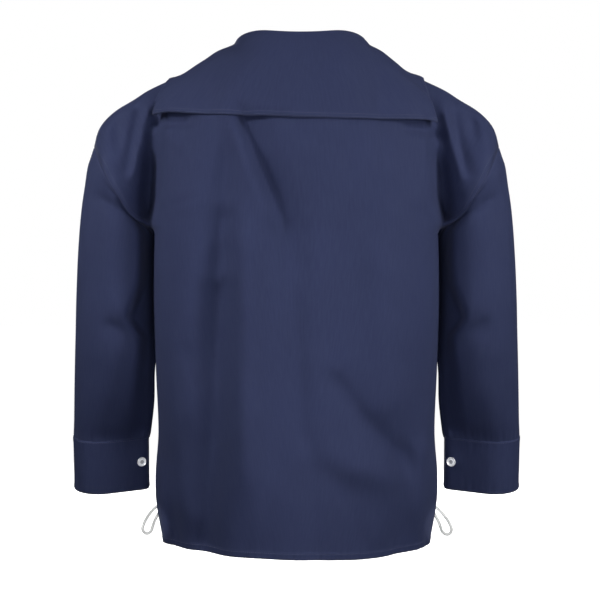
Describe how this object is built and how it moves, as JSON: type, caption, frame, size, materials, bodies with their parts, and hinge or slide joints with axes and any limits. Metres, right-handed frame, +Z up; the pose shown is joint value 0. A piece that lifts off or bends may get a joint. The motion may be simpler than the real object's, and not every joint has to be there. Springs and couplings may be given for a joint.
{
  "type": "pull-over sailing smock, worn form with no wearer",
  "caption": "Navy pull-over smock in worn, hollow form: wide flat fold-over collar, dropped shoulders, straight sleeves with studded cuffs, draw cord loops at the hem.",
  "frame": {"origin": "centre of the neck opening, level with the tops of the shoulders beside the neck", "axes": "+X to the wearer's left, +Y to the wearer's back, +Z up"},
  "size_m": [0.66, 0.2907, 0.7331],
  "materials": {
    "navy_drill": "matt cotton drill with a faint sheen",
    "stud_steel": "bright nickel-plated press stud",
    "cord_white": "soft braided cotton cord"
  },
  "bodies": {
    "root": {"back": "navy_drill", "front": "navy_drill", "collar": "navy_drill", "sleeve_left": "navy_drill", "sleeve_right": "navy_drill", "cuff_left": "navy_drill", "cuff_right": "navy_drill", "stud_left": "stud_steel", "stud_right": "stud_steel", "cord_loop_left": "cord_white", "cord_loop_right": "cord_white"}
  },
  "joints": []
}
